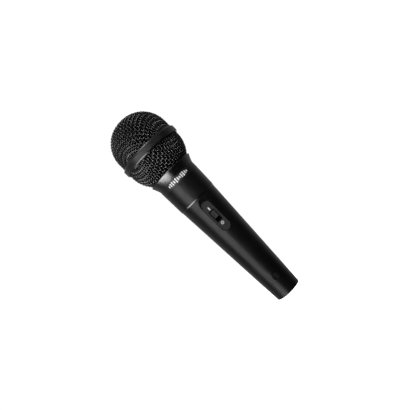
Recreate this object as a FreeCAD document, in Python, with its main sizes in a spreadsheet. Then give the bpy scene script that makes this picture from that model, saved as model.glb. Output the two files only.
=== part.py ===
"""Hand-held dynamic vocal microphone with an XLR socket, a ball grille and an on/off slide switch.

Frame: +Z runs along the axis from the tail to the head, the origin is the centre of the tail's end
face, and the switch faces -Y. Lengths are in millimetres.
"""
import FreeCAD, Part
import math
import os

import Sketcher

Vector = FreeCAD.Vector

# Driving dimensions, one spreadsheet cell each: name and value.
SIZES = {
    # handle
    "tail_radius": 11.34,
    "tail_chamfer": 0.35,
    "handle_top_radius": 16.89,
    "handle_top": 103.1,
    "spigot_radius": 15.4,
    "spigot_top": 116.0,
    "handle_bore": 12.2,
    "spigot_bore": 13.9,
    # socket at the tail
    "socket_radius": 9.5,
    "latch_groove_radius": 9.9,
    "latch_groove_start": 3.0,
    "latch_groove_end": 4.2,
    "insert_face": 15.0,
    "insert_seat": 24.3,
    "seat_bore": 8.6,
    "seat_end": 26.0,
    "pin_radius": 1.2,
    "pin_length": 11.9,
    "pin_collar_radius": 1.4,
    "pin_circle": 4.4,
    "pin_tail": 29.0,
    "ground_ring_gauge": 0.3,
    # retaining screw of the socket insert
    "screw_height": 17.2,
    "screw_head_radius": 2.75,
    "screw_shank_radius": 1.25,
    "screw_face": 11.85,
    "screw_tip": 6.0,
    # switch
    "plate_low": 69.7,
    "plate_high": 98.6,
    "plate_half_width": 4.2,
    "plate_end_radius": 4.3,
    "plate_face": 14.6,
    "plate_gap": 0.28,
    "ramp_low": 95.6,
    "ramp_top": 102.2,
    "plate_gauge": 0.8,
    "window_low": 78.9,
    "window_high": 89.3,
    "window_half_width": 2.6,
    "knob_low": 82.6,
    "knob_high": 88.4,
    "knob_half_width": 1.85,
    "knob_face": 15.3,
    "switch_seat": 11.0,
    "switch_screw_low": 73.0,
    "switch_screw_high": 95.0,
    # sleeve and the threaded joint with the grille
    "sleeve_low_radius": 17.25,
    "sleeve_high_radius": 17.8,
    "bevel_depth": 0.42,
    "bevel_height": 0.85,
    "sleeve_top": 121.95,
    "neck_bore": 14.2,
    "neck_radius": 15.5,
    "neck_top": 130.2,
    "thread_pitch": 1.25,
    "thread_turns": 4.0,
    "thread_start": 124.2,
    # grille collar
    "collar_radius": 17.85,
    "collar_crease": 128.0,
    "collar_thread_bore": 15.75,
    "washer_bay_radius": 16.95,
    "washer_radius": 16.85,
    "washer_bore": 16.15,
    "collar_rim_radius": 20.55,
    "collar_rim_bore": 19.4,
    "collar_top": 134.8,
    "flare_arc": 45.0,
    # ball grille
    "basket_radius": 25.9,
    "basket_centre": 152.4,
    "mesh_gauge": 1.7,
    "basket_edge": 133.1,
    "basket_top": 157.3,
    "band_radius": 27.15,
    "band_low": 154.3,
    "band_shoulder": 159.4,
    "band_high": 160.9,
    "web_high": 157.9,
    "dome_radius": 25.75,
    "shoulder_radius": 24.4,
    "crown_radius": 31.0,
    "dome_top": 191.2,
    "foam_gauge": 2.6,
    "foam_gap": 0.15,
    "foam_low": 135.9,
    # capsule
    "chamber_radius": 10.5,
    "chamber_low": 108.0,
    "mount_flange_radius": 15.2,
    "mount_low": 122.0,
    "capsule_radius": 13.2,
    "capsule_low": 138.0,
    "capsule_high": 152.0,
    "yoke_radius": 10.6,
    "yoke_low": 140.6,
    "gap_top": 150.4,
    "magnet_radius": 6.6,
    "pole_radius": 7.5,
    "coil_radius": 7.9,
    "coil_gauge": 0.35,
    "diaphragm_height": 152.6,
    "cap_high": 156.7,
    "wire_radius": 0.4,
}

# Distance of a sketch plane that lies in front of the whole handle, for cuts made from the front.
OUTSIDE = 20.0

doc = FreeCAD.newDocument("microphone")
sheet = doc.addObject("Spreadsheet::Sheet", "sizes")
for row, (alias, size) in enumerate(SIZES.items(), start=1):
    sheet.set("A%d" % row, alias)
    sheet.set("B%d" % row, "%g" % size)
    sheet.setAlias("B%d" % row, alias)
doc.recompute()

SUB_PARTS = []


def amount(term):
    """Value of a size: a number, a sheet name, or a sheet name with a shift added."""
    if isinstance(term, tuple):
        return SIZES[term[0]] + term[1]
    if isinstance(term, str):
        return SIZES[term]
    return float(term)


def formula(term):
    """Expression that ties a size to the sheet, or None for a plain number."""
    if isinstance(term, tuple):
        return "sizes.%s + (%.6g)" % term
    if isinstance(term, str):
        return "sizes." + term
    return None


def bind(target, path, term):
    """Tie one property or constraint to the sheet."""
    expression = formula(term)
    if expression:
        target.setExpression(path, expression)


def origin_feature(body, role):
    """One of the body's own origin planes or axes."""
    return next(item for item in body.Origin.OriginFeatures if item.Role == role)


def new_body(label):
    """An empty sub-part with its own label, which names its file."""
    body = doc.addObject("PartDesign::Body", label)
    body.Label = label
    SUB_PARTS.append(body)
    return body


def new_sketch(body, name, role="XZ_Plane", lift=0.0, aside=0.0):
    """An empty sketch on an origin plane, lifted along its normal and moved along its first axis."""
    sketch = body.newObject("Sketcher::SketchObject", body.Label + "_" + name)
    sketch.AttachmentSupport = [(origin_feature(body, role), "")]
    sketch.MapMode = "FlatFace"
    sketch.AttachmentOffset = FreeCAD.Placement(Vector(aside, 0, amount(lift)), FreeCAD.Rotation())
    bind(sketch, "AttachmentOffset.Base.z", lift)
    return sketch


def hold(sketch, kind, edge, end, term):
    """Fix one coordinate of a point, measured from the sketch's origin, to a size."""
    size = amount(term)
    if abs(size) < 1e-9:
        axis = -2 if kind == "DistanceX" else -1
        sketch.addConstraint(Sketcher.Constraint("PointOnObject", edge, end, axis))
        return
    index = sketch.addConstraint(Sketcher.Constraint(kind, -1, 1, edge, end, size))
    bind(sketch, "Constraints[%d]" % index, term)


def arc_between(first, last, radius, side):
    """Minor arc between two points; side +1 bulges to the left of the way from first to last."""
    chord = last - first
    drop = math.sqrt(radius ** 2 - (chord.Length / 2) ** 2)
    across = Vector(-chord.y, chord.x, 0).normalize()
    centre = (first + last) / 2 - across * drop * side
    ends = (last, first) if side > 0 else (first, last)
    angles = [math.atan2(point.y - centre.y, point.x - centre.x) for point in ends]
    if angles[1] < angles[0]:
        angles[1] += 2 * math.pi
    return Part.ArcOfCircle(Part.Circle(centre, Vector(0, 0, 1), radius), angles[0], angles[1])


def outline(sketch, corners):
    """Closed outline. A corner is (x, y), or (x, y, radius, side) where an arc leads to the next one."""
    places = [Vector(amount(corner[0]), amount(corner[1]), 0) for corner in corners]
    for index, corner in enumerate(corners):
        first = places[index]
        last = places[(index + 1) % len(places)]
        if len(corner) == 4:
            sketch.addGeometry(arc_between(first, last, amount(corner[2]), corner[3]), False)
            continue
        sketch.addGeometry(Part.LineSegment(first, last), False)
    starts = []
    for index, corner in enumerate(corners):
        turned_round = len(corner) == 4 and corner[3] > 0
        starts.append(2 if turned_round else 1)
    for index, corner in enumerate(corners):
        following = (index + 1) % len(corners)
        end = 3 - starts[index]
        sketch.addConstraint(Sketcher.Constraint("Coincident", index, end, following, starts[following]))
    for index, corner in enumerate(corners):
        hold(sketch, "DistanceX", index, starts[index], corner[0])
        hold(sketch, "DistanceY", index, starts[index], corner[1])
        if len(corner) == 4:
            number = sketch.addConstraint(Sketcher.Constraint("Radius", index, amount(corner[2])))
            bind(sketch, "Constraints[%d]" % number, corner[2])


def turn(body, name, corners, kind="PartDesign::Revolution"):
    """Full turn of a (radius, height) outline about the microphone's axis."""
    sketch = new_sketch(body, name + "_outline")
    outline(sketch, corners)
    feature = body.newObject(kind, body.Label + "_" + name)
    feature.Profile = sketch
    feature.ReferenceAxis = (sketch, ["V_Axis"])
    feature.Angle = 360
    return feature


def turned_part(label, corners):
    """Sub-part that is one full turn of an outline."""
    body = new_body(label)
    turn(body, "turned", corners)
    return body


def circle(sketch, centre_x, centre_y, radius):
    """A circle whose centre and radius follow the sheet."""
    place = Vector(amount(centre_x), amount(centre_y), 0)
    edge = sketch.addGeometry(Part.Circle(place, Vector(0, 0, 1), amount(radius)), False)
    hold(sketch, "DistanceX", edge, 3, centre_x)
    hold(sketch, "DistanceY", edge, 3, centre_y)
    number = sketch.addConstraint(Sketcher.Constraint("Radius", edge, amount(radius)))
    bind(sketch, "Constraints[%d]" % number, radius)


def minus(term):
    """The same size on the other side of the axis, for an outline's left half."""
    return -amount(term)


def rectangle(sketch, half_width, low, high):
    """A rectangle centred on the sketch's upright axis."""
    outline(sketch, [(minus(half_width), low), (half_width, low), (half_width, high),
                     (minus(half_width), high)])


def extrude(body, name, sketch, length, kind="PartDesign::Pad"):
    """Pad along the sketch's normal, or pocket against it."""
    feature = body.newObject(kind, body.Label + "_" + name)
    feature.Profile = sketch
    feature.Length = amount(length)
    bind(feature, "Length", length)
    return feature


def cut(body, name, sketch, length):
    """Pocket whose effect is proved by the volume that it takes away."""
    doc.recompute()
    before = body.Shape.Volume
    feature = extrude(body, name, sketch, length, "PartDesign::Pocket")
    doc.recompute()
    if body.Shape.Volume > before - 1e-3:
        raise RuntimeError(name + " takes nothing away from " + body.Label)
    return feature


def pattern_round(body, features, count):
    """Repeat features evenly about the microphone's axis."""
    ring = body.newObject("PartDesign::PolarPattern", body.Label + "_ring")
    ring.Originals = features
    ring.Axis = (origin_feature(body, "Z_Axis"), [""])
    ring.Angle = 360
    ring.Occurrences = count
    body.Tip = ring
    return ring


def thread(body, kind, tooth, extra_turns=0.0):
    """Right-hand helical ridge or groove with the joint's pitch, and its length with any extra turns."""
    sketch = new_sketch(body, "tooth")
    outline(sketch, tooth)
    helix = body.newObject(kind, body.Label + "_thread")
    helix.Profile = sketch
    helix.ReferenceAxis = (sketch, ["V_Axis"])
    helix.Mode = 0
    helix.Pitch = SIZES["thread_pitch"]
    helix.Height = SIZES["thread_pitch"] * (SIZES["thread_turns"] + extra_turns)
    helix.setExpression("Pitch", "sizes.thread_pitch")
    helix.setExpression("Height", "sizes.thread_pitch * (sizes.thread_turns + %g)" % extra_turns)


def sphere_radius_at(centre, radius, height):
    """Radius of a sphere about the axis at a height."""
    return math.sqrt(radius ** 2 - (height - centre) ** 2)


# ---------------------------------------------------------------- handle and switch

def build_handle():
    """Tapered handle: socket bore at the tail, seat for the switch, spigot for the sleeve."""
    body = new_body("handle")
    turn(body, "shell", [
        ("socket_radius", 0),
        (("tail_radius", -SIZES["tail_chamfer"]), 0),
        ("tail_radius", "tail_chamfer"),
        ("handle_top_radius", "handle_top"),
        ("spigot_radius", "handle_top"),
        ("spigot_radius", "spigot_top"),
        ("spigot_bore", "spigot_top"),
        ("spigot_bore", 100.5),
        ("handle_bore", 98.5),
        ("handle_bore", 56.0),
        ("socket_radius", ("seat_end", 1.5)),
        ("seat_bore", "seat_end"),
        ("seat_bore", "insert_seat"),
        ("socket_radius", "insert_seat"),
    ])
    turn(body, "latch_groove", [
        (9.0, "latch_groove_start"),
        ("latch_groove_radius", "latch_groove_start"),
        ("latch_groove_radius", "latch_groove_end"),
        (9.0, "latch_groove_end"),
    ], "PartDesign::Groove")
    seat = new_sketch(body, "seat_outline", lift="switch_seat")
    rectangle(seat, 5.4, 68.5, 99.5)
    extrude(body, "seat", seat, 1.9)
    recess = new_sketch(body, "recess_outline", lift=OUTSIDE)
    pill(recess, SIZES["plate_gap"])
    cut(body, "recess", recess, OUTSIDE - SIZES["plate_face"] + SIZES["plate_gauge"])
    slot = new_sketch(body, "slot_outline", lift=OUTSIDE)
    rectangle(slot, ("window_half_width", 0.2), ("window_low", -0.3), ("window_high", 0.3))
    cut(body, "slot", slot, OUTSIDE - 9.0)
    for name, height in (("low", "switch_screw_low"), ("high", "switch_screw_high")):
        hole = new_sketch(body, "switch_hole_" + name, lift=OUTSIDE)
        circle(hole, 0, height, 1.05)
        cut(body, "switch_drilling_" + name, hole, OUTSIDE - 9.0)
        head = new_sketch(body, "switch_head_" + name, lift=OUTSIDE)
        circle(head, 0, height, 1.9)
        cut(body, "switch_counterbore_" + name, head, OUTSIDE - 12.5)
    thumb_ramp(body)
    hole = new_sketch(body, "screw_hole", lift=OUTSIDE)
    circle(hole, 0, "screw_height", ("screw_shank_radius", 0.15))
    cut(body, "screw_drilling", hole, OUTSIDE - 8.5)
    head = new_sketch(body, "screw_head", lift=OUTSIDE)
    circle(head, 0, "screw_height", ("screw_head_radius", 0.25))
    cut(body, "screw_recess", head, OUTSIDE - SIZES["screw_face"] + 1.0)
    return body


def thumb_ramp(body):
    """Arched flat ramp that runs out of the handle's surface above the switch plate."""
    run = SIZES["ramp_top"] - SIZES["ramp_low"]
    rise = SIZES["handle_top_radius"] - SIZES["plate_face"]
    half = SIZES["plate_half_width"] + SIZES["plate_gap"]
    shoulder = SIZES["plate_high"] - SIZES["ramp_low"] - 1.6
    arch = new_sketch(body, "ramp_outline")
    arch.AttachmentOffset = FreeCAD.Placement(
        Vector(0, SIZES["ramp_low"], SIZES["plate_face"]),
        FreeCAD.Rotation(Vector(1, 0, 0), math.degrees(math.atan2(rise, run))))
    outline(arch, [
        (-half, 0),
        (half, 0),
        (half, shoulder, 9.0, -1),
        (0.9, math.hypot(run, rise), 1.1, -1),
        (-0.9, math.hypot(run, rise), 9.0, -1),
        (-half, shoulder),
    ])
    ramp = extrude(body, "ramp", arch, 6.0, "PartDesign::Pocket")
    ramp.Reversed = True


def pill(sketch, grow=0.0):
    """Outline of the switch plate: straight sides and ends of a slightly larger radius."""
    half = SIZES["plate_half_width"] + grow
    radius = SIZES["plate_end_radius"] + grow
    inset = radius - math.sqrt(radius ** 2 - half ** 2)
    low = SIZES["plate_low"] - grow + inset
    high = SIZES["plate_high"] + grow - inset
    outline(sketch, [
        (("plate_half_width", grow), ("plate_low", low - SIZES["plate_low"])),
        (("plate_half_width", grow), ("plate_high", high - SIZES["plate_high"]),
         ("plate_end_radius", grow), -1),
        (-half, high),
        (-half, low, ("plate_end_radius", grow), -1),
    ])


def build_switch_plate():
    """Pill-shaped marked plate with the window that the knob slides in."""
    body = new_body("switch_plate")
    face = new_sketch(body, "face", lift=("plate_face", -SIZES["plate_gauge"]))
    pill(face)
    extrude(body, "plate", face, "plate_gauge")
    window = new_sketch(body, "window_outline", lift=OUTSIDE)
    rectangle(window, "window_half_width", "window_low", "window_high")
    cut(body, "window", window, OUTSIDE - 10.0)


def build_switch_knob():
    """Sliding knob: ribbed finger block above a stem that reaches into the switch."""
    body = new_body("switch_knob")
    block = new_sketch(body, "block_outline", lift=12.4)
    rectangle(block, "knob_half_width", "knob_low", "knob_high")
    extrude(body, "block", block, ("knob_face", -12.4))
    stem = new_sketch(body, "stem_outline", lift=7.2)
    rectangle(stem, 1.1, 84.4, 86.6)
    extrude(body, "stem", stem, 5.3)
    rib_count = 4
    for rib in range(rib_count):
        middle = 83.85 + rib * 1.1
        valley = new_sketch(body, "valley_%d" % rib, "YZ_Plane")
        outline(valley, [
            (-SIZES["knob_face"] - 0.4, middle - 0.28),
            (-SIZES["knob_face"] - 0.4, middle + 0.28),
            (-SIZES["knob_face"] + 0.45, middle + 0.16),
            (-SIZES["knob_face"] + 0.45, middle - 0.16),
        ])
        groove = body.newObject("PartDesign::Pocket", "switch_knob_groove_%d" % rib)
        groove.Profile = valley
        groove.Length = 10.0
        groove.Midplane = True


def build_switch_housing():
    """Slide switch body with two ears against the handle's seat and a slot for the stem."""
    body = new_body("switch_housing")
    ears = new_sketch(body, "ears", lift=("switch_seat", -0.8))
    rectangle(ears, 4.4, 70.6, 97.4)
    extrude(body, "frame", ears, 0.8)
    box = new_sketch(body, "box", lift=4.6)
    rectangle(box, 4.4, 76.0, 92.0)
    extrude(body, "case", box, 5.7)
    slot = new_sketch(body, "slot", lift=OUTSIDE)
    rectangle(slot, 1.4, 80.9, 87.2)
    cut(body, "stem_slot", slot, OUTSIDE - 6.8)
    for name, height in (("low", "switch_screw_low"), ("high", "switch_screw_high")):
        hole = new_sketch(body, "hole_" + name, lift=OUTSIDE)
        circle(hole, 0, height, 1.0)
        cut(body, "drilling_" + name, hole, OUTSIDE - 8.0)


def build_switch_terminals():
    """Three solder lugs on the back of the slide switch."""
    body = new_body("switch_terminals")
    for name, height in (("low", 79.5), ("middle", 84.0), ("high", 88.5)):
        lug = new_sketch(body, "lug_" + name, lift=2.2)
        rectangle(lug, 1.2, height - 0.3, height + 0.3)
        extrude(body, name, lug, 2.4)


def build_switch_screws():
    """Two flat-head screws that hold the slide switch against its seat, under the plate."""
    body = new_body("switch_screws")
    for name, height in (("low", "switch_screw_low"), ("high", "switch_screw_high")):
        shank = new_sketch(body, "shank_" + name, lift=8.6)
        circle(shank, 0, height, 0.95)
        extrude(body, name + "_shank", shank, 4.0)
        head = new_sketch(body, "head_" + name, lift=12.5)
        circle(head, 0, height, 1.7)
        extrude(body, name + "_head", head, 0.8)
    return body


# ---------------------------------------------------------------- socket

def build_socket_insert():
    """Moulded insulator that carries the three contacts, with a tapped hole for its screw."""
    body = turned_part("socket_insert", [
        (0, "insert_face"),
        (("socket_radius", -0.05), "insert_face"),
        (("socket_radius", -0.05), ("insert_seat", -SIZES["ground_ring_gauge"])),
        (8.4, ("insert_seat", -SIZES["ground_ring_gauge"])),
        (8.4, 25.6),
        (0, 25.6),
    ])
    for number in range(3):
        turned = math.radians(30 + 120 * number)
        hole = new_sketch(body, "contact_%d" % number, "XY_Plane", lift=40.0)
        circle(hole, SIZES["pin_circle"] * math.cos(turned), SIZES["pin_circle"] * math.sin(turned),
               "pin_collar_radius")
        cut(body, "contact_hole_%d" % number, hole, 30.0)
    tapped = new_sketch(body, "tapped", lift=OUTSIDE)
    circle(tapped, 0, "screw_height", "screw_shank_radius")
    cut(body, "tapping", tapped, OUTSIDE - SIZES["screw_tip"])
    key = new_sketch(body, "key_outline", "XY_Plane", lift=40.0)
    outline(key, [(-1.0, 7.6), (1.0, 7.6), (1.0, 10.0), (-1.0, 10.0)])
    extrude(body, "key", key, 40.0 - 17.0, "PartDesign::Pocket")


def build_socket_contacts():
    """Three round contacts with domed tips and solder cups."""
    tip = SIZES["insert_face"] - SIZES["pin_length"]
    for number in range(3):
        turned = math.radians(30 + 120 * number)
        body = turned_part("socket_contact_%d" % (number + 1), [
            (0, ("insert_face", -SIZES["pin_length"])),
            (0.6, ("insert_face", -SIZES["pin_length"]), 0.7, -1),
            ("pin_radius", tip + 0.65),
            ("pin_radius", "insert_face"),
            ("pin_collar_radius", "insert_face"),
            ("pin_collar_radius", 25.6),
            (1.3, 25.6),
            (1.3, "pin_tail"),
            (0.8, "pin_tail"),
            (0.8, ("pin_tail", -2.2)),
            (0, ("pin_tail", -2.2)),
        ])
        body.Placement = FreeCAD.Placement(
            Vector(SIZES["pin_circle"] * math.cos(turned), SIZES["pin_circle"] * math.sin(turned), 0),
            FreeCAD.Rotation())
        body.setExpression("Placement.Base.x", "sizes.pin_circle * %.12g" % math.cos(turned))
        body.setExpression("Placement.Base.y", "sizes.pin_circle * %.12g" % math.sin(turned))


def build_ground_ring():
    """Thin metal ring between insert and seat that earths the handle."""
    turned_part("ground_ring", [
        (8.55, ("insert_seat", -SIZES["ground_ring_gauge"])),
        (9.35, ("insert_seat", -SIZES["ground_ring_gauge"])),
        (9.35, "insert_seat"),
        (8.55, "insert_seat"),
    ])


def build_socket_screw():
    """Countersunk cross-head screw through the handle wall into the insert."""
    body = new_body("socket_screw")
    profile = new_sketch(body, "outline", "YZ_Plane")
    middle = SIZES["screw_height"]
    outline(profile, [
        (-SIZES["screw_face"], middle),
        (-SIZES["screw_face"], ("screw_height", SIZES["screw_head_radius"])),
        (-SIZES["screw_face"] + 0.25, ("screw_height", SIZES["screw_head_radius"])),
        (-SIZES["screw_face"] + 0.95, ("screw_height", 1.3)),
        (-SIZES["screw_face"] + 0.95, ("screw_height", SIZES["screw_shank_radius"])),
        (-SIZES["screw_tip"], ("screw_height", SIZES["screw_shank_radius"])),
        (-SIZES["screw_tip"], middle),
    ])
    turned = body.newObject("PartDesign::Revolution", "socket_screw_turned")
    turned.Profile = profile
    turned.ReferenceAxis = (profile, ["Edge7"])
    turned.Angle = 360
    for name, wide, tall in (("across", 1.55, 0.32), ("upright", 0.32, 1.55)):
        slot = new_sketch(body, "slot_" + name, lift=OUTSIDE)
        rectangle(slot, wide, middle - tall, middle + tall)
        cut(body, "recess_" + name, slot, OUTSIDE - SIZES["screw_face"] + 0.6)


# ---------------------------------------------------------------- sleeve, collar and grille

def build_sleeve():
    """Ring between handle and grille: it sits on the spigot and ends in the threaded neck."""
    body = turned_part("neck_sleeve", [
        ("spigot_radius", "handle_top"),
        (("sleeve_low_radius", -SIZES["bevel_depth"]), "handle_top"),
        ("sleeve_low_radius", ("handle_top", SIZES["bevel_height"])),
        ("sleeve_high_radius", ("sleeve_top", -0.1)),
        (("sleeve_high_radius", -0.1), "sleeve_top"),
        ("neck_radius", "sleeve_top"),
        ("neck_radius", "neck_top"),
        ("neck_bore", "neck_top"),
        ("neck_bore", "spigot_top"),
        ("spigot_radius", "spigot_top"),
    ])
    start = SIZES["thread_start"]
    thread(body, "PartDesign::AdditiveHelix", [
        (("neck_radius", -0.06), start - 0.42),
        ("neck_radius", start - 0.38),
        (("neck_radius", 0.55), start - 0.12),
        (("neck_radius", 0.55), start + 0.12),
        ("neck_radius", start + 0.38),
        (("neck_radius", -0.06), start + 0.42),
    ])


def build_collar():
    """Flared collar of the grille, threaded inside, with a spherical seat for the wire basket."""
    seat_high = 134.2
    seat_low = 132.95
    gap = 0.03
    seat_radius = SIZES["basket_radius"] + gap
    body = turned_part("grille_collar", [
        ("washer_bay_radius", "sleeve_top"),
        (("collar_radius", -0.12), ("sleeve_top", 0.04)),
        ("collar_radius", ("sleeve_top", 0.16)),
        ("collar_radius", "collar_crease", "flare_arc", 1),
        ("collar_rim_radius", 134.3),
        (("collar_rim_radius", -0.35), "collar_top"),
        ("collar_rim_bore", "collar_top"),
        ("collar_rim_bore", seat_high),
        (sphere_radius_at(SIZES["basket_centre"], seat_radius, seat_high), seat_high, seat_radius, -1),
        (sphere_radius_at(SIZES["basket_centre"], seat_radius, seat_low), seat_low),
        ("collar_thread_bore", ("neck_top", 0.8)),
        ("collar_thread_bore", ("sleeve_top", 1.15)),
        ("washer_bay_radius", ("sleeve_top", 1.15)),
    ])
    start = SIZES["thread_start"] - 2 * SIZES["thread_pitch"]
    thread(body, "PartDesign::SubtractiveHelix", [
        (("collar_thread_bore", -0.06), start - 0.50),
        (("collar_thread_bore", 0.0), start - 0.46),
        (("collar_thread_bore", 0.55), start - 0.22),
        (("collar_thread_bore", 0.55), start + 0.22),
        (("collar_thread_bore", 0.0), start + 0.46),
        (("collar_thread_bore", -0.06), start + 0.50),
    ], extra_turns=2.1)


def build_thread_washer():
    """Nylon washer held in the collar's bay, against the sleeve's shoulder."""
    turned_part("thread_washer", [
        ("washer_bore", ("sleeve_top", 0.03)),
        ("washer_radius", ("sleeve_top", 0.03)),
        ("washer_radius", ("sleeve_top", 1.1)),
        ("washer_bore", ("sleeve_top", 1.1)),
    ])


def build_basket():
    """Lower wire basket as a spherical shell, from the collar's seat up into the band."""
    outer = SIZES["basket_radius"]
    inner = outer - SIZES["mesh_gauge"]
    centre = SIZES["basket_centre"]
    edge = SIZES["basket_edge"]
    inner_edge = edge + 1.2
    turned_part("grille_basket", [
        (sphere_radius_at(centre, inner, inner_edge), inner_edge),
        (sphere_radius_at(centre, outer, edge), edge, "basket_radius", -1),
        ("basket_radius", "basket_centre"),
        ("basket_radius", "basket_top"),
        (("basket_radius", -SIZES["mesh_gauge"]), "basket_top"),
        (("basket_radius", -SIZES["mesh_gauge"]), "basket_centre", inner, 1),
    ])


def build_band():
    """Ring round the ball that crimps both wire shells against its inner web."""
    turned_part("grille_band", [
        ("basket_radius", "band_low"),
        (("band_radius", -SIZES["bevel_depth"]), "band_low"),
        ("band_radius", ("band_low", SIZES["bevel_height"])),
        ("band_radius", "band_shoulder", 1.7, 1),
        (("basket_radius", 0.05), "band_high"),
        ("basket_radius", ("band_high", -0.1)),
        ("basket_radius", "web_high"),
        (23.2, "web_high"),
        (23.2, "basket_top"),
        ("basket_radius", "basket_top"),
    ])


def dome_outline(inset):
    """Points of a dome surface a depth inside the outer one: wall, then shoulder, then flatter crown."""
    reach = SIZES["dome_radius"] - SIZES["shoulder_radius"]
    spread = SIZES["crown_radius"] - SIZES["shoulder_radius"]
    crown = SIZES["crown_radius"] - inset
    crown_centre = SIZES["dome_top"] - SIZES["crown_radius"]
    lift = math.sqrt(spread ** 2 - reach ** 2)
    wall_top = (("dome_radius", -inset), crown_centre + lift)
    joint = (crown * reach / spread, crown_centre + crown * lift / spread)
    top = (0, ("dome_top", -inset))
    return wall_top, joint, top


def dome_shell(label, outer, inner, low):
    """Turned dome between two depths, from a height up to the crown."""
    outer_wall, outer_joint, outer_top = dome_outline(outer)
    inner_wall, inner_joint, inner_top = dome_outline(inner)
    turned_part(label, [
        (inner_wall[0], low),
        (outer_wall[0], low),
        (*outer_wall, ("shoulder_radius", -outer), -1),
        (*outer_joint, ("crown_radius", -outer), -1),
        outer_top,
        (*inner_top, ("crown_radius", -inner), 1),
        (*inner_joint, ("shoulder_radius", -inner), 1),
        inner_wall,
    ])


def build_dome():
    """Upper wire dome as a shell: short upright wall, then a slightly flattened half ball."""
    dome_shell("grille_dome", 0.0, SIZES["mesh_gauge"], "web_high")


def build_foam_liners():
    """Foam wind filters inside the dome and the basket."""
    depth = SIZES["mesh_gauge"] + SIZES["foam_gap"]
    dome_shell("foam_liner_top", depth, depth + SIZES["foam_gauge"], ("web_high", 0.2))
    centre = SIZES["basket_centre"]
    outer = SIZES["basket_radius"] - depth
    inner = outer - SIZES["foam_gauge"]
    low = SIZES["foam_low"]
    turned_part("foam_liner_bottom", [
        (sphere_radius_at(centre, inner, low), "foam_low"),
        (sphere_radius_at(centre, outer, low), "foam_low", outer, -1),
        (outer, "basket_centre"),
        (outer, ("basket_top", -0.2)),
        (inner, ("basket_top", -0.2)),
        (inner, "basket_centre", inner, 1),
    ])


# ---------------------------------------------------------------- capsule

def build_rear_chamber():
    """Closed can behind the capsule that holds its acoustic volume."""
    wall = 0.9
    turned_part("rear_chamber", [
        (0, "chamber_low"),
        (("chamber_radius", -1.0), "chamber_low"),
        ("chamber_radius", ("chamber_low", 1.0)),
        ("chamber_radius", "capsule_low"),
        (("chamber_radius", -wall), "capsule_low"),
        (("chamber_radius", -wall), ("chamber_low", 1.4)),
        (("chamber_radius", -1.4), ("chamber_low", wall)),
        (0, ("chamber_low", wall)),
    ])


def build_shock_mount():
    """Rubber ring that carries the capsule in the neck, folded thin between its two lips."""
    body = turned_part("shock_mount", [
        ("chamber_radius", "mount_low"),
        ("neck_bore", "mount_low"),
        ("neck_bore", "neck_top"),
        ("mount_flange_radius", "neck_top"),
        ("mount_flange_radius", ("neck_top", 0.9)),
        (("mount_flange_radius", -0.4), ("neck_top", 1.3)),
        (13.4, ("neck_top", 1.3)),
        (12.9, ("neck_top", -3.2)),
        (11.5, ("neck_top", -3.2)),
        (11.3, ("capsule_low", -0.4)),
        (11.0, "capsule_low"),
        ("chamber_radius", "capsule_low"),
    ])
    for name, side in (("left", -2.5), ("right", 2.5)):
        hole = new_sketch(body, "lead_" + name, "XY_Plane", lift=145.0)
        circle(hole, side, -12.0, 0.55)
        cut(body, "lead_hole_" + name, hole, 24.0)


def build_capsule_housing():
    """Moulded cup of the capsule, with a floor that the magnet system stands on."""
    body = turned_part("capsule_housing", [
        (4.0, "capsule_low"),
        (("capsule_radius", -0.8), "capsule_low"),
        ("capsule_radius", ("capsule_low", 0.8)),
        ("capsule_radius", "capsule_high"),
        (("capsule_radius", -1.4), "capsule_high"),
        (("capsule_radius", -1.4), "yoke_low"),
        (4.0, "yoke_low"),
    ])
    port = new_sketch(body, "port", "XY_Plane", lift=145.0)
    circle(port, 7.0, 0, 1.1)
    hole = cut(body, "port_hole", port, 8.0)
    pattern_round(body, [hole], 6)


def build_terminal_board():
    """Small board under the capsule's front edge, where the two leads start."""
    body = new_body("terminal_board")
    board = new_sketch(body, "outline", "XY_Plane", lift=137.0)
    outline(board, [(-3.4, -12.6), (3.4, -12.6), (3.4, -11.35), (-3.4, -11.35)])
    extrude(body, "board", board, 1.0)


def build_magnet_system():
    """Steel cup, magnet and pole piece, with a ring gap for the voice coil."""
    turned_part("magnet_yoke", [
        (0, "yoke_low"),
        ("yoke_radius", "yoke_low"),
        ("yoke_radius", "gap_top"),
        (("coil_radius", 0.85), "gap_top"),
        (("coil_radius", 0.85), ("gap_top", -2.2)),
        (9.2, ("gap_top", -2.2)),
        (9.2, ("yoke_low", 1.6)),
        (0, ("yoke_low", 1.6)),
    ])
    turned_part("magnet", [
        (0, ("yoke_low", 1.6)),
        ("magnet_radius", ("yoke_low", 1.6)),
        ("magnet_radius", ("gap_top", -2.2)),
        (0, ("gap_top", -2.2)),
    ])
    turned_part("pole_piece", [
        (0, ("gap_top", -2.2)),
        ("pole_radius", ("gap_top", -2.2)),
        ("pole_radius", "gap_top"),
        (0, "gap_top"),
    ])


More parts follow.
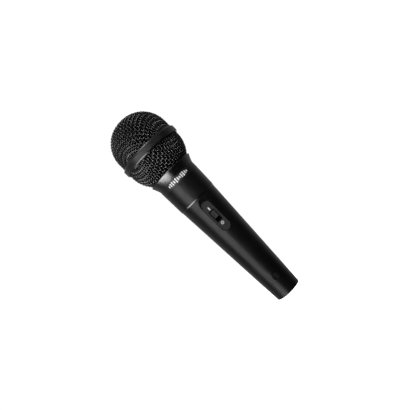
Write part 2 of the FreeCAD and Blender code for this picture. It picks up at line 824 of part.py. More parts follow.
def build_diaphragm():
    """Domed diaphragm with its voice coil, thin surround and clamping ring."""
    gauge = 0.15
    turned_part("voice_coil", [
        ("coil_radius", ("gap_top", -1.9)),
        (("coil_radius", SIZES["coil_gauge"]), ("gap_top", -1.9)),
        (("coil_radius", SIZES["coil_gauge"]), "diaphragm_height"),
        ("coil_radius", "diaphragm_height"),
    ])
    dome = 16.0
    rise = dome - math.sqrt(dome ** 2 - SIZES["coil_radius"] ** 2)
    turned_part("diaphragm_dome", [
        (("coil_radius", SIZES["coil_gauge"]), "diaphragm_height"),
        (("coil_radius", SIZES["coil_gauge"]), ("diaphragm_height", gauge)),
        ("coil_radius", ("diaphragm_height", gauge), dome, 1),
        (0, ("diaphragm_height", gauge + rise)),
        (0, ("diaphragm_height", rise), dome, -1),
        ("coil_radius", "diaphragm_height"),
    ])
    roll = 2.2
    edge = SIZES["coil_radius"] + SIZES["coil_gauge"] + 0.06
    turned_part("diaphragm_surround", [
        (edge, "diaphragm_height"),
        (edge, ("diaphragm_height", gauge), roll, -1),
        (11.4, ("diaphragm_height", gauge)),
        ("capsule_radius", ("diaphragm_height", gauge)),
        ("capsule_radius", "diaphragm_height"),
        (11.4, "diaphragm_height", roll - gauge, 1),
    ])
    turned_part("clamp_ring", [
        (11.7, "capsule_high"),
        ("capsule_radius", "capsule_high"),
        ("capsule_radius", "diaphragm_height"),
        (11.7, "diaphragm_height"),
    ])


def build_front_cap():
    """Perforated cap that guards the diaphragm, and the felt disc on it."""
    top = SIZES["cap_high"]
    body = turned_part("front_cap", [
        (11.7, ("diaphragm_height", 0.15)),
        ("capsule_radius", ("diaphragm_height", 0.15)),
        ("capsule_radius", ("cap_high", -0.8)),
        (("capsule_radius", -0.8), "cap_high"),
        (0, "cap_high"),
        (0, ("cap_high", -0.9)),
        (11.7, ("cap_high", -0.9)),
    ])
    centre_hole = new_sketch(body, "centre", "XY_Plane", lift=top + 2.0)
    circle(centre_hole, 0, 0, 1.3)
    cut(body, "centre_hole", centre_hole, 3.5)
    holes = []
    for number, distance in enumerate((4.4, 8.4)):
        hole = new_sketch(body, "sound_%d" % number, "XY_Plane", lift=top + 2.0)
        circle(hole, distance, 0, 1.2)
        holes.append(cut(body, "sound_hole_%d" % number, hole, 3.5))
    pattern_round(body, holes, 8)
    turned_part("felt_disc", [
        (0, "cap_high"),
        (11.0, "cap_high"),
        (11.0, ("cap_high", 0.8)),
        (0, ("cap_high", 0.8)),
    ])


# ---------------------------------------------------------------- leads

def build_leads(label, routes, lift_plane="YZ_Plane"):
    """Round insulated wires. A route is its distance aside and its (across, height) points."""
    body = new_body(label)
    for number, (aside, stops, bend) in enumerate(routes):
        spine = new_sketch(body, "route_%d" % number, lift_plane, lift=aside)
        places = [Vector(across, height, 0) for across, height in stops]
        start = places[0]
        for index in range(1, len(places) - 1):
            before = (places[index - 1] - places[index]).normalize()
            after = (places[index + 1] - places[index]).normalize()
            turned = math.pi - before.getAngle(after)
            reach = bend * math.tan(turned / 2)
            first = places[index] + before * reach
            last = places[index] + after * reach
            side = 1 if before.cross(after).z > 0 else -1
            spine.addGeometry(Part.LineSegment(start, first), False)
            spine.addGeometry(arc_between(first, last, bend, side), False)
            start = last
        spine.addGeometry(Part.LineSegment(start, places[-1]), False)
        ring = new_sketch(body, "section_%d" % number, "XY_Plane", lift=stops[0][1])
        circle(ring, aside, stops[0][0], "wire_radius")
        pipe = body.newObject("PartDesign::AdditivePipe", "%s_%d" % (label, number))
        pipe.Profile = ring
        pipe.Spine = spine


build_handle()
build_switch_plate()
build_switch_knob()
build_switch_housing()
build_switch_terminals()
build_switch_screws()
build_socket_insert()
build_socket_contacts()
build_ground_ring()
build_socket_screw()
build_sleeve()
build_collar()
build_thread_washer()
build_basket()
build_band()
build_dome()
build_foam_liners()
build_rear_chamber()
build_shock_mount()
build_capsule_housing()
build_terminal_board()
build_magnet_system()
build_diaphragm()
build_front_cap()
build_leads("capsule_leads", [
    (-2.5, [(-12.0, 137.0), (-12.0, 104.0), (-1.5, 98.0), (-1.5, 90.5), (-3.2, 88.2)], 2.5),
    (2.5, [(-12.0, 137.0), (-12.0, 104.0), (-1.5, 98.0), (-1.5, 84.0)], 2.5),
])
build_leads("connector_leads", [
    (-2.2, [(-1.9, 83.0), (-1.9, 50.0), (2.2, 36.0), (2.2, 29.2)], 6.0),
    (2.2, [(-1.9, 83.0), (-1.9, 50.0), (2.2, 36.0), (2.2, 29.2)], 6.0),
])

doc.recompute()
for item in doc.Objects:
    if "Invalid" in item.State or "Error" in item.State:
        raise RuntimeError("failed: " + item.Label)
os.makedirs("parts", exist_ok=True)
for body in SUB_PARTS:
    shape = body.Shape
    if shape.isNull() or not shape.isValid():
        raise RuntimeError("bad shape: " + body.Label)
for body in SUB_PARTS:
    body.Shape.exportStep("parts/%s.step" % body.Label)
    box = body.Shape.BoundBox
    print("%-20s solids %d volume %9.2f z %.2f to %.2f"
          % (body.Label, len(body.Shape.Solids), body.Shape.Volume, box.ZMin, box.ZMax))
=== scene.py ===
"""Hand-held dynamic microphone: woven ball grille, satin black body, slide switch and socket."""
import math
import random

import bpy
import numpy as np
from mathutils import Matrix, Vector


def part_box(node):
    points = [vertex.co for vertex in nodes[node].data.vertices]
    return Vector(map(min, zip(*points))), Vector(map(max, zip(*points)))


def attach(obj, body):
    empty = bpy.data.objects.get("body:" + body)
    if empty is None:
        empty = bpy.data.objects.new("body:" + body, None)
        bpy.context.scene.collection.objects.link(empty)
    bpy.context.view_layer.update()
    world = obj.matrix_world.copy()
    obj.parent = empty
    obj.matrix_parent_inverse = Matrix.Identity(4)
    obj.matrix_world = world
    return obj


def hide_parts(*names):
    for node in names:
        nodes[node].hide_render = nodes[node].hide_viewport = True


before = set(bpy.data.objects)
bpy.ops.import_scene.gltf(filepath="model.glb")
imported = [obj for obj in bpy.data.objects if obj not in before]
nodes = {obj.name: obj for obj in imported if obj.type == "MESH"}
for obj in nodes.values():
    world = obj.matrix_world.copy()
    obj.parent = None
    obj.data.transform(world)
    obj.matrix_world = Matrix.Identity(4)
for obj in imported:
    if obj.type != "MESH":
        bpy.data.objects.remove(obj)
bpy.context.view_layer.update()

MM = 0.001
# Angle of the front, which carries the switch and the marks, round the axis from +X.
FRONT_DEG = -90.0


def low(node):
    """Lowest corner of a CAD node."""
    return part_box(node)[0]


def high(node):
    """Highest corner of a CAD node."""
    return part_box(node)[1]


# ---------------------------------------------------------------- materials

class Paint:
    """A material under construction: its node tree, its shader and short ways to add nodes."""

    def __init__(self, name, base, rough, metallic=0.0, specular=0.5):
        self.material = bpy.data.materials.new(name)
        self.material.use_nodes = True
        self.tree = self.material.node_tree
        self.shader = self.tree.nodes["Principled BSDF"]
        self.set("Base Color", (*base, 1.0))
        self.set("Roughness", rough)
        self.set("Metallic", metallic)
        self.set("Specular IOR Level", specular)
        self.place = self.add("ShaderNodeTexCoord").outputs["Object"]

    def set(self, socket, value):
        """Constant on the shader's own socket."""
        self.shader.inputs[socket].default_value = value

    def join(self, value, socket):
        """Link a socket or set a constant number or colour."""
        if isinstance(value, bpy.types.NodeSocket):
            self.tree.links.new(value, socket)
        elif isinstance(value, (int, float)):
            socket.default_value = value
        else:
            socket.default_value = (*value, 1.0)

    def add(self, kind, **inputs):
        """New node with its inputs set or linked; a name such as operation sets a property."""
        node = self.tree.nodes.new(kind)
        for key, value in inputs.items():
            if hasattr(node, key):
                setattr(node, key, value)
            else:
                self.join(value, node.inputs[key.replace("_", " ")])
        return node

    def noise(self, scale, detail=3.0, rough=0.5):
        """Noise value at a scale per metre."""
        node = self.add("ShaderNodeTexNoise", Vector=self.place, Scale=scale, Detail=detail,
                        Roughness=rough)
        return node.outputs["Fac"]

    def remap(self, value, source, target):
        """Value stretched from one (start, end) to another and held at the ends."""
        node = self.add("ShaderNodeMapRange", Value=value, From_Min=source[0], From_Max=source[1],
                        To_Min=target[0], To_Max=target[1])
        return node.outputs["Result"]

    def mix(self, factor, first, second, kind="RGBA"):
        """Colour between two colours or, with kind VALUE, number between two numbers."""
        node = self.add("ShaderNodeMix", data_type="RGBA" if kind == "RGBA" else "FLOAT", Factor=factor)
        ends = [item for item in node.inputs if item.type == kind and item.name in ("A", "B")]
        self.join(first, ends[0])
        self.join(second, ends[1])
        return [item for item in node.outputs if item.type == kind][0]

    def multiply(self, first, second):
        """Product of two values."""
        node = self.add("ShaderNodeMath", operation="MULTIPLY")
        self.join(first, node.inputs[0])
        self.join(second, node.inputs[1])
        return node.outputs[0]

    def bump(self, value, depth, strength):
        """Relief of a depth in metres."""
        node = self.add("ShaderNodeBump", Height=value, Strength=strength, Distance=depth)
        self.tree.links.new(node.outputs["Normal"], self.shader.inputs["Normal"])

    def colour(self, value):
        """Base colour from a node."""
        self.tree.links.new(value, self.shader.inputs["Base Color"])

    def roughness(self, value):
        """Roughness from a node."""
        self.tree.links.new(value, self.shader.inputs["Roughness"])


# The whole range of a share, and the ranges in which a noise value mostly lies.
FULL = (0.0, 1.0)
MIDDLE = (0.3, 0.7)
SMUDGE = (0.3, 0.75)
# Orange peel of sprayed paint: bumps per metre and their depth.
PEEL_SCALE = 2600.0
PEEL_DEPTH = 0.04 * MM


def powder_coat(name, base, rough, grain=PEEL_SCALE, depth=PEEL_DEPTH, wear=0.02):
    """Satin paint on metal: fine orange peel, faint smudges and slightly lighter worn grain."""
    paint = Paint(name, base, rough)
    smudge = paint.noise(scale=70.0, detail=4.0, rough=0.6)
    paint.roughness(paint.remap(smudge, SMUDGE, (rough - 0.05, rough + 0.07)))
    speck = paint.noise(scale=grain * 0.7, detail=2.0)
    lighter = tuple(channel + wear * 0.3 for channel in base)
    paint.colour(paint.mix(paint.remap(speck, (0.55, 0.8), FULL), base, lighter))
    paint.bump(paint.noise(scale=grain, detail=2.0), depth, strength=0.5)
    return paint.material


def smooth_coat(name, base, rough, specular=0.6):
    """Smooth surface with a faint long-wave ripple and slightly uneven polish."""
    paint = Paint(name, base, rough, specular=specular)
    polish = paint.noise(scale=120.0, detail=4.0, rough=0.65)
    paint.roughness(paint.remap(polish, (0.35, 0.7), (rough, rough + 0.10)))
    paint.bump(paint.noise(scale=260.0, detail=2.0), depth=0.03 * MM, strength=0.35)
    return paint.material


# The collar's satin band ends and its glossy flare starts at this height.
CREASE_Z = 128.0 * MM
CREASE_WIDTH = 0.08 * MM


def collar_coat(name, base):
    """Satin paint up to the crease, glossier and almost without grain on the flare above it."""
    paint = Paint(name, base, rough=0.4, specular=0.66)
    height = paint.add("ShaderNodeSeparateXYZ", Vector=paint.place).outputs["Z"]
    above = paint.remap(height, (CREASE_Z, CREASE_Z + CREASE_WIDTH), FULL)
    smudge = paint.noise(scale=90.0, detail=4.0, rough=0.6)
    satin = paint.remap(smudge, SMUDGE, (0.36, 0.46))
    gloss = paint.remap(smudge, SMUDGE, (0.33, 0.36))
    paint.roughness(paint.mix(above, satin, gloss, "VALUE"))
    peel = paint.noise(scale=PEEL_SCALE, detail=2.0)
    paint.bump(paint.multiply(peel, paint.remap(above, FULL, (1.0, 0.04))), PEEL_DEPTH, strength=0.5)
    return paint.material


def plain_metal(name, base, rough):
    """Bare metal with fine drawn grain."""
    grain = 900.0
    paint = Paint(name, base, rough, metallic=1.0)
    polish = paint.noise(scale=grain, detail=4.0)
    paint.roughness(paint.remap(polish, MIDDLE, (rough - 0.06, rough + 0.1)))
    paint.bump(paint.noise(scale=grain * 3, detail=2.0), depth=0.02 * MM, strength=0.4)
    return paint.material


def moulded(name, base, rough, grain=1800.0):
    """Moulded plastic with a fine spark-eroded grain."""
    paint = Paint(name, base, rough)
    lighter = tuple(min(1.0, channel * 1.25 + 0.004) for channel in base)
    patch = paint.noise(scale=grain * 0.2)
    paint.colour(paint.mix(paint.remap(patch, (0.4, 0.7), FULL), base, lighter))
    paint.roughness(paint.remap(paint.noise(scale=200.0), MIDDLE, (rough - 0.05, rough + 0.06)))
    paint.bump(paint.noise(scale=grain, detail=2.0), depth=0.03 * MM, strength=0.5)
    return paint.material


def open_foam(name):
    """Open-cell foam: thin walls round pits whose colour is darkened as painted shade."""
    paint = Paint(name, base=(0.006, 0.006, 0.0065), rough=0.95, specular=0.15)
    pits = paint.add("ShaderNodeTexVoronoi", Vector=paint.place, Scale=1300.0).outputs["Distance"]
    # The pit colour is painted shade: cells are coloured darker where light falls off inside them, and the
    # wall colour is the foam's own.
    pit_painted_shade = (0.001, 0.001, 0.001)
    wall = (0.007, 0.007, 0.0075)
    paint.colour(paint.mix(paint.remap(pits, (0.1, 0.6), FULL), pit_painted_shade, wall))
    paint.bump(pits, depth=0.5 * MM, strength=1.0)
    return paint.material


BODY = powder_coat("body_satin_black", (0.0020, 0.0020, 0.0022), rough=0.355, wear=0.006)
BAND = powder_coat("band_satin_black", (0.0065, 0.0065, 0.007), rough=0.38)
WIRE = powder_coat("wire_black", (0.0055, 0.0055, 0.006), rough=0.20, grain=4200.0, depth=0.01 * MM,
                   wear=0.01)
COLLAR = collar_coat("collar_black", (0.0035, 0.0035, 0.0038))
PLATE = powder_coat("plate_grey_black", (0.0145, 0.0145, 0.0152), rough=0.48, grain=3200.0)
KNOB = moulded("knob_grey_black", (0.031, 0.031, 0.032), rough=0.42)
DARK = smooth_coat("switch_dark", (0.001, 0.001, 0.001), rough=0.7, specular=0.08)
INSERT = moulded("insert_black", (0.012, 0.012, 0.012), rough=0.45)
STEEL = plain_metal("screw_steel", (0.30, 0.30, 0.31), rough=0.30)
BLACK_SCREW = plain_metal("screw_blackened", (0.08, 0.08, 0.085), rough=0.30)
PLATING = plain_metal("contact_plating", (0.78, 0.76, 0.72), rough=0.18)
BRASS = plain_metal("tinned_brass", (0.66, 0.62, 0.52), rough=0.25)
COPPER = plain_metal("coil_copper", (0.72, 0.33, 0.16), rough=0.30)
MAGNET = plain_metal("magnet_alloy", (0.30, 0.30, 0.31), rough=0.40)
NYLON = moulded("washer_nylon", (0.70, 0.68, 0.62), rough=0.40)
CAPSULE = moulded("capsule_plastic", (0.02, 0.02, 0.021), rough=0.40)
RUBBER = moulded("mount_rubber", (0.010, 0.010, 0.010), rough=0.70)
BOARD = moulded("board_green", (0.02, 0.10, 0.05), rough=0.40)
FILM = smooth_coat("diaphragm_film", (0.55, 0.55, 0.52), rough=0.20)
FELT = moulded("felt_grey", (0.08, 0.08, 0.08), rough=0.95, grain=900.0)
SHEATH = moulded("lead_red", (0.35, 0.02, 0.015), rough=0.40)
WHITE = moulded("mark_white", (0.86, 0.86, 0.84), rough=0.45)
FOAM = open_foam("foam_black")

CAD_FINISH = {
    "handle": BODY, "neck_sleeve": BODY, "grille_collar": COLLAR, "grille_band": BAND,
    "switch_plate": PLATE, "switch_knob": KNOB, "switch_housing": DARK, "switch_terminals": BRASS,
    "switch_screws": STEEL, "socket_insert": INSERT, "socket_contact_1": PLATING,
    "socket_contact_2": PLATING, "socket_contact_3": PLATING, "ground_ring": BRASS,
    "socket_screw": BLACK_SCREW, "thread_washer": NYLON, "rear_chamber": CAPSULE,
    "shock_mount": RUBBER, "capsule_housing": CAPSULE, "terminal_board": BOARD,
    "magnet_yoke": STEEL, "magnet": MAGNET, "pole_piece": STEEL, "voice_coil": COPPER,
    "diaphragm_dome": FILM, "diaphragm_surround": FILM, "clamp_ring": CAPSULE, "front_cap": CAPSULE,
    "felt_disc": FELT, "capsule_leads": SHEATH, "connector_leads": SHEATH,
}
for node_name, finish in CAD_FINISH.items():
    mesh = nodes[node_name].data
    mesh.materials.clear()
    mesh.materials.append(finish)


def new_piece(name, points, faces, material, body, smooth=True):
    """Mesh object in the row frame that rides on a body."""
    mesh = bpy.data.meshes.new(name)
    mesh.from_pydata([tuple(point) for point in points], [], [tuple(face) for face in faces])
    mesh.materials.append(material)
    mesh.polygons.foreach_set("use_smooth", [smooth] * len(mesh.polygons))
    mesh.update()
    piece = bpy.data.objects.new(name, mesh)
    bpy.context.scene.collection.objects.link(piece)
    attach(piece, body)
    return piece


# ---------------------------------------------------------------- woven wire grille

# Least distance from the axis, so that a direction away from it exists.
TINY = 1e-9


class Bowl:
    """Ball-like cap on an upright wall, apex at +Z: a crown arc, a shoulder arc, then the wall below 0."""

    def __init__(self, radius, shoulder, crown):
        self.radius = radius
        self.shoulder = shoulder
        self.crown = crown
        self.reach = radius - shoulder
        self.sink = math.sqrt(max(0.0, (crown - shoulder) ** 2 - self.reach ** 2))
        self.joint = math.atan2(self.reach, self.sink) if crown > shoulder else 0.0
        self.cap = crown * self.joint + shoulder * (math.pi / 2 - self.joint)

    def split(self, point):
        """Centre of curvature for a point, the way out from it and the arc's radius."""
        flat = math.hypot(point[0], point[1])
        side = np.array([point[0], point[1], 0.0]) / max(flat, TINY)
        if point[2] < 0.0:
            return np.array([0.0, 0.0, point[2]]), side, self.radius
        if math.atan2(flat - self.reach, point[2]) < self.joint:
            centre, arc = np.array([0.0, 0.0, -self.sink]), self.crown
        else:
            centre, arc = side * self.reach, self.shoulder
        away = point - centre
        return centre, away / np.linalg.norm(away), arc

    def normal(self, point):
        """Outward direction at a point of the surface."""
        return self.split(point)[1]

    def drop(self, point):
        """Nearest point of the surface."""
        centre, away, arc = self.split(point)
        return centre + away * arc

    def along(self, way):
        """Point at a distance down the +X meridian from the apex."""
        crown_end = self.crown * self.joint
        if way < crown_end:
            angle = way / self.crown
            return np.array([self.crown * math.sin(angle), 0.0, self.crown * math.cos(angle) - self.sink])
        if way <= self.cap:
            angle = self.joint + (way - crown_end) / self.shoulder
            return np.array([self.reach + self.shoulder * math.sin(angle), 0.0,
                             self.shoulder * math.cos(angle)])
        return np.array([self.radius, 0.0, self.cap - way])


# Wires of the grille: spacing of the crossings, thickness, and how far each crossing may stray.
MESH_PITCH = 2.36 * MM
WIRE_GAUGE = 0.85 * MM
WIRE_STRAY = 0.008
# The wires end this far short of the CAD shells' ends, inside the band.
DOME_TRIM = 0.3 * MM
BASKET_TRIM = 0.2 * MM
# Pieces of a wire between two crossings, and corners round it.
WIRE_STEPS = 4
WIRE_SIDES = 8
# A cell is left out when its diagonal is under the first share of a pitch, or its side is off by the second.
SHUT_CELL = 0.45
SIDE_ERROR = 0.15
# Each crossing is settled by this many rounds, each taking this share of what is left.
NET_ROUNDS = 30
NET_STEP = 0.8


def woven_net(bowl, pitch, count):
    """Crossings of a square weave laid on the bowl: every cell keeps its side, only its corners shear."""
    net = {}
    for step in range(count + 1):
        point = bowl.along(step * pitch)
        net[step, 0] = point
        net[0, step] = np.array([point[1], point[0], point[2]])
    for row in range(1, count + 1):
        for column in range(1, count + 1):
            left = net.get((column - 1, row))
            below = net.get((column, row - 1))
            back = net.get((column - 1, row - 1))
            if left is None or below is None or back is None:
                continue
            point = bowl.drop(left + below - back)
            for _ in range(NET_ROUNDS):
                for anchor in (left, below):
                    away = point - anchor
                    point = anchor + away * (1 + NET_STEP * (pitch / np.linalg.norm(away) - 1))
                point = bowl.drop(point)
            shut = np.linalg.norm(point - back) < SHUT_CELL * pitch
            if shut or abs(np.linalg.norm(point - left) - pitch) > SIDE_ERROR * pitch:
                continue
            net[column, row] = point
    whole = {}
    for (column, row), point in net.items():
        for side_x in (1, -1):
            for side_y in (1, -1):
                whole[column * side_x, row * side_y] = point * np.array([side_x, side_y, 1.0])
    return whole


def wire_runs(net, count, flip):
    """Each wire as its crossings in order; flip gives the wires that run the other way."""
    runs = []
    for fixed in range(-count, count + 1):
        run = []
        for moving in range(-count, count + 1):
            key = (fixed, moving) if flip else (moving, fixed)
            if key in net:
                run.append((net[key], 1 if (key[0] + key[1]) % 2 == 0 else -1))
            elif run:
                runs.append(run)
                run = []
        if run:
            runs.append(run)
    return [run for run in runs if len(run) > 2]


def wire_line(bowl, run, lift):
    """A wire's middle as (surface point, wire point) pairs; it passes over and under by the lift."""
    line = []
    for index in range(len(run) - 1):
        before = run[max(index - 1, 0)][0]
        first, side = run[index]
        last = run[index + 1][0]
        after = run[min(index + 2, len(run) - 1)][0]
        for step in range(WIRE_STEPS):
            way = step / WIRE_STEPS
            point = (2 * first + (last - before) * way
                     + (2 * before - 5 * first + 4 * last - after) * way ** 2
                     + (3 * first - before - 3 * last + after) * way ** 3) / 2
            point = bowl.drop(point)
            line.append((point, point + bowl.normal(point) * lift * side * math.cos(math.pi * way)))
    point, side = run[-1]
    line.append((point, point + bowl.normal(point) * lift * side))
    return line


def wire_frames(bowl, line):
    """Each pair of a wire's line with the two directions across the wire there."""
    frames = []
    for index, (ground, centre) in enumerate(line):
        following = line[min(index + 1, len(line) - 1)][1]
        previous = line[max(index - 1, 0)][1]
        tangent = (following - previous) / np.linalg.norm(following - previous)
        across = np.cross(tangent, bowl.normal(ground))
        across /= np.linalg.norm(across)
        frames.append((ground, centre, across, np.cross(across, tangent)))
    return frames


def wire_tubes(bowl, runs, lift, place, keep):
    """Round wires where keep allows a surface point; place moves their points into the row frame."""
    points = []
    faces = []
    turns = [2 * math.pi * k / WIRE_SIDES for k in range(WIRE_SIDES)]
    for run in runs:
        last_ring = None
        for ground, centre, across, up in wire_frames(bowl, wire_line(bowl, run, lift)):
            if not keep(ground):
                last_ring = None
                continue
            ring = len(points)
            for turn in turns:
                outward = across * math.cos(turn) + up * math.sin(turn)
                points.append(place(centre + WIRE_GAUGE / 2 * outward))
            if last_ring is not None:
                for k in range(WIRE_SIDES):
                    near = (k + 1) % WIRE_SIDES
                    faces.append((last_ring + k, ring + k, ring + near, last_ring + near))
            last_ring = ring
    return points, faces


def woven_shell(name, node, shape, centre_z, upside, turn_deg, edge_z, seed):
    """Woven wire shell in place of a CAD shell. upside is 1 for a dome, -1 for a basket."""
    bowl = Bowl(*(radius - WIRE_GAUGE for radius in shape))
    top_z = high(node).z - BASKET_TRIM
    wall_end = edge_z if upside > 0 else top_z
    reach = bowl.cap + abs(wall_end - centre_z) + MESH_PITCH
    count = int(reach / MESH_PITCH) + 1
    net = woven_net(bowl, MESH_PITCH, count)
    chance = random.Random(seed)
    for key in sorted(net):
        shake = np.array([chance.uniform(-1, 1) for _ in range(3)]) * WIRE_STRAY * MESH_PITCH
        net[key] = bowl.drop(net[key] + shake)
    angle = math.radians(turn_deg)
    spin = np.array([[math.cos(angle), -math.sin(angle), 0.0],
                     [math.sin(angle), math.cos(angle), 0.0], [0.0, 0.0, 1.0]])

    def place(point):
        turned = spin @ point
        return (turned[0], turned[1], centre_z + upside * turned[2])

    def keep(point):
        height = centre_z + upside * point[2]
        if upside > 0:
            return height > edge_z
        return edge_z < height < top_z

    for label, flip, sign in (("warp", False, 1), ("weft", True, -1)):
        lift = sign * WIRE_GAUGE / 2
        points, faces = wire_tubes(bowl, wire_runs(net, count, flip), lift, place, keep)
        if upside < 0:
            faces = [tuple(reversed(face)) for face in faces]
        piece = new_piece("%s_%s" % (name, label), points, faces, WIRE, "grille")
        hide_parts(node)


# Radii of each shell: at the wall, of the shoulder arc and of the crown arc. The basket is part of a ball.
DOME = (high("grille_dome").x, 24.4 * MM, 31.0 * MM)
DOME_Z = high("grille_dome").z - DOME[2] + Bowl(*DOME).sink
BASKET = (high("grille_basket").x,) * 3
BASKET_Z = 152.4 * MM
woven_shell("dome_wires", "grille_dome", DOME, DOME_Z, upside=1, turn_deg=FRONT_DEG + 7.0,
            edge_z=low("grille_dome").z + DOME_TRIM, seed=3)
woven_shell("basket_wires", "grille_basket", BASKET, BASKET_Z, upside=-1, turn_deg=FRONT_DEG + 5.0,
            edge_z=low("grille_basket").z, seed=5)


# ---------------------------------------------------------------- foam liners

# Distance of the foam below the outside of the wires, and the foam's thickness.
FOAM_DEPTH = 1.85 * MM
FOAM_GAUGE = 2.6 * MM


def turned_shape(profile, segments):
    """Points and quads of a closed (radius, height) profile turned round the axis."""
    points = []
    faces = []
    for ring, (radius, height) in enumerate(profile):
        following = (ring + 1) % len(profile)
        for k in range(segments):
            angle = 2 * math.pi * k / segments
            near = (k + 1) % segments
            points.append((radius * math.cos(angle), radius * math.sin(angle), height))
            faces.append((ring * segments + k, ring * segments + near,
                          following * segments + near, following * segments + k))
    return points, faces


def liner_line(bowl, centre_z, upside, edge_z, end_z):
    """(radius, height) points down one side of a liner, from the apex or its cut edge to its end."""
    total = bowl.cap + abs(end_z - centre_z)
    steps = 60
    axis_gap = 0.02 * MM
    line = []
    for step in range(steps + 1):
        point = bowl.along(total * step / steps)
        height = centre_z + upside * point[2]
        if upside > 0 or height >= edge_z:
            line.append((max(point[0], axis_gap), height))
    return line


def foam_shell(name, node, shape, centre_z, upside, end_z):
    """Closed foam lining inside a wire shell of a given shape."""
    edge_z = low(node).z
    outer = liner_line(Bowl(*(radius - FOAM_DEPTH for radius in shape)), centre_z, upside, edge_z, end_z)
    inner = liner_line(Bowl(*(radius - FOAM_DEPTH - FOAM_GAUGE for radius in shape)), centre_z, upside,
                       edge_z, end_z)
    points, faces = turned_shape(outer + inner[::-1], segments=96)
    if upside > 0:
        faces = [tuple(reversed(face)) for face in faces]
    piece = new_piece(name, points, faces, FOAM, "grille")
    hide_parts(node)


foam_shell("foam_top", "foam_liner_top", DOME, DOME_Z, upside=1, end_z=low("foam_liner_top").z)
foam_shell("foam_bottom", "foam_liner_bottom", BASKET, BASKET_Z, upside=-1,
           end_z=high("foam_liner_bottom").z)


# ---------------------------------------------------------------- printed marks

# Height of the paint above the collar and above the switch plate.
COLLAR_LIFT = 0.02 * MM
PLATE_LIFT = 0.015 * MM


def curved_patch(points, faces, radius, angle, width, base, tall):
    """Thin upright bar of paint on a cylinder, centred on an angle."""
    steps = 3
    start = len(points)
    for step in range(steps + 1):
        turned = angle + (step / steps - 0.5) * width / radius
        for height in (base, base + tall):
            points.append((radius * math.cos(turned), radius * math.sin(turned), height))
    for step in range(steps):
        first = start + 2 * step
        faces.append((first, first + 2, first + 3, first + 1))


def collar_mark():
    """Generic row of level bars printed round the front of the collar's band."""
    collar_radius = 17.85 * MM
    radius = collar_radius + COLLAR_LIFT
    centre_deg = FRONT_DEG - 2.4
    middle = 125.1 * MM
    bar = 0.95 * MM
    gap = 1.0 * MM
    heights = (1.8, 2.8, 3.8, 2.4, 4.0, 2.8, 2.0, 3.4, 4.0, 2.6, 1.8)
    points = []
    faces = []
    for index, tall in enumerate(heights):
        offset = (index - (len(heights) - 1) / 2) * (bar + gap)
        angle = math.radians(centre_deg) + offset / radius
        curved_patch(points, faces, radius, angle, bar, middle - tall * MM / 2, tall * MM)
    new_piece("collar_mark", points, faces, WHITE, "grille")


def flat_mark(name, outline, face_y, faces):
    """Flat printed mark on the switch plate, from (x, z) points."""
    points = [(x, face_y, z) for x, z in outline]
    new_piece(name, points, faces, WHITE, "barrel", smooth=False)


def plate_marks():
    """An upright bar for on and a ring for off."""
    face_y = low("switch_plate").y - PLATE_LIFT
    half_w = 0.38 * MM
    half_h = 1.25 * MM
    on_z = 91.5 * MM
    off_z = 76.5 * MM
    flat_mark("mark_on", [(-half_w, on_z - half_h), (half_w, on_z - half_h),
                          (half_w, on_z + half_h), (-half_w, on_z + half_h)], face_y, [(0, 1, 2, 3)])
    sides = 40
    ring_bore = 0.82 * MM
    ring = []
    for radius in (ring_bore, half_h):
        for k in range(sides):
            angle = 2 * math.pi * k / sides
            ring.append((radius * math.cos(angle), off_z + radius * math.sin(angle)))
    quads = [(k, (k + 1) % sides, sides + (k + 1) % sides, sides + k) for k in range(sides)]
    flat_mark("mark_off", ring, face_y, quads)


collar_mark()
plate_marks()


# ---------------------------------------------------------------- stage, light and camera

# The camera and the lights look at this point.
AIM = Vector((0.0006, 0.0, 0.0958))
DISTANCE = 0.458
# Camera's angle round the axis, away from the front, and the cosine and sine of its roll.
VIEW_DEG = -2.7
ROLL_COS = 0.7089
ROLL_SIN = 0.7053
LENS = 50.0
FLOOR_Z = -0.16
FLOOR_HALF = 6.0


def add_camera():
    """Camera square to the microphone's axis, rolled so that the head points up and to the left."""
    angle = math.radians(VIEW_DEG)
    forward = Vector((-math.sin(angle), math.cos(angle), 0.0))
    aside = Vector((math.cos(angle), math.sin(angle), 0.0))
    up_axis = Vector((0.0, 0.0, 1.0))
    right = aside * ROLL_COS - up_axis * ROLL_SIN
    up = aside * ROLL_SIN + up_axis * ROLL_COS
    data = bpy.data.cameras.new("camera")
    data.lens = LENS
    data.sensor_width = 36.0
    data.clip_start = 0.01
    camera = bpy.data.objects.new("camera", data)
    bpy.context.scene.collection.objects.link(camera)
    turn = Matrix((right, up, -forward)).transposed()
    camera.matrix_world = Matrix.Translation(AIM - forward * DISTANCE) @ turn.to_4x4()
    bpy.context.scene.camera = camera


def add_floor():
    """Plain pale floor below the held microphone."""
    paint = Paint("floor_pale", base=(0.86, 0.86, 0.86), rough=0.8, specular=0.1)
    paint.colour(paint.mix(paint.noise(scale=30.0), (0.85, 0.85, 0.85), (0.87, 0.87, 0.87)))
    paint.set("Emission Color", (1.0, 1.0, 1.0, 1.0))
    paint.set("Emission Strength", 0.9)
    corners = [(x * FLOOR_HALF, y * FLOOR_HALF, 0) for x, y in ((-1, -1), (1, -1), (1, 1), (-1, 1))]
    mesh = bpy.data.meshes.new("floor")
    mesh.from_pydata(corners, [], [(0, 1, 2, 3)])
    mesh.materials.append(paint.material)
    floor = bpy.data.objects.new("floor", mesh)
    floor.location.z = FLOOR_Z
    floor.visible_glossy = False
    floor.visible_diffuse = False
    bpy.context.scene.collection.objects.link(floor)


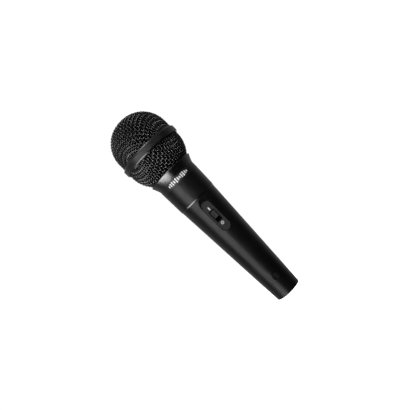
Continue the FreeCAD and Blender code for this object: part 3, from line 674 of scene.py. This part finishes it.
def add_softbox(name, azimuth, elevation, distance, width, tall, power, shape="ELLIPSE"):
    """Area light aimed at the microphone. Azimuth 0 is the front, + to the camera's right."""
    turn = math.radians(azimuth + FRONT_DEG)
    rise = math.radians(elevation)
    away = Vector((math.cos(rise) * math.cos(turn), math.cos(rise) * math.sin(turn), math.sin(rise)))
    data = bpy.data.lights.new(name, "AREA")
    data.shape = shape
    data.size = width
    data.size_y = tall
    data.energy = power
    light = bpy.data.objects.new(name, data)
    light.location = AIM + away * distance
    light.rotation_euler = (-away).to_track_quat("-Z", "Y").to_euler()
    light.visible_camera = False
    bpy.context.scene.collection.objects.link(light)


def add_world():
    """White to the camera; to the object dim in front and brighter behind, as a lit white room is."""
    world = bpy.data.worlds.new("studio")
    bpy.context.scene.world = world
    world.use_nodes = True
    tree = world.node_tree
    tree.nodes.clear()
    way = tree.nodes.new("ShaderNodeTexCoord")
    split = tree.nodes.new("ShaderNodeSeparateXYZ")
    ramp = tree.nodes.new("ShaderNodeMapRange")
    seen = tree.nodes.new("ShaderNodeLightPath")
    room = tree.nodes.new("ShaderNodeBackground")
    paper = tree.nodes.new("ShaderNodeBackground")
    choose = tree.nodes.new("ShaderNodeMixShader")
    out = tree.nodes.new("ShaderNodeOutputWorld")
    for background in (room, paper):
        background.inputs["Color"].default_value = (1.0, 1.0, 1.0, 1.0)
    for socket, value in (("From Min", -0.2), ("From Max", 0.7), ("To Min", 0.012), ("To Max", 0.4)):
        ramp.inputs[socket].default_value = value
    paper.inputs["Strength"].default_value = 1.05
    tree.links.new(way.outputs["Generated"], split.inputs[0])
    tree.links.new(split.outputs["Y"], ramp.inputs["Value"])
    tree.links.new(ramp.outputs["Result"], room.inputs["Strength"])
    tree.links.new(seen.outputs["Is Camera Ray"], choose.inputs["Fac"])
    tree.links.new(room.outputs[0], choose.inputs[1])
    tree.links.new(paper.outputs[0], choose.inputs[2])
    tree.links.new(choose.outputs[0], out.inputs["Surface"])


add_camera()
add_floor()
add_world()
add_softbox("key", azimuth=-42.5, elevation=4.0, distance=0.9, width=0.72, tall=0.78, power=4.3,
            shape="RECTANGLE")
add_softbox("low_key", azimuth=-59.0, elevation=-46.0, distance=0.8, width=0.86, tall=0.36, power=17.0)
add_softbox("top", azimuth=-12.0, elevation=56.0, distance=0.8, width=0.30, tall=0.5, power=6.0)
add_softbox("fill", azimuth=44.0, elevation=22.0, distance=0.9, width=0.35, tall=0.45, power=0.18)
add_softbox("front", azimuth=-3.0, elevation=17.0, distance=0.8, width=0.22, tall=0.22, power=0.42)
add_softbox("back", azimuth=178.0, elevation=20.0, distance=0.9, width=0.4, tall=0.7, power=4.0)
bpy.context.scene.view_settings.view_transform = "Standard"
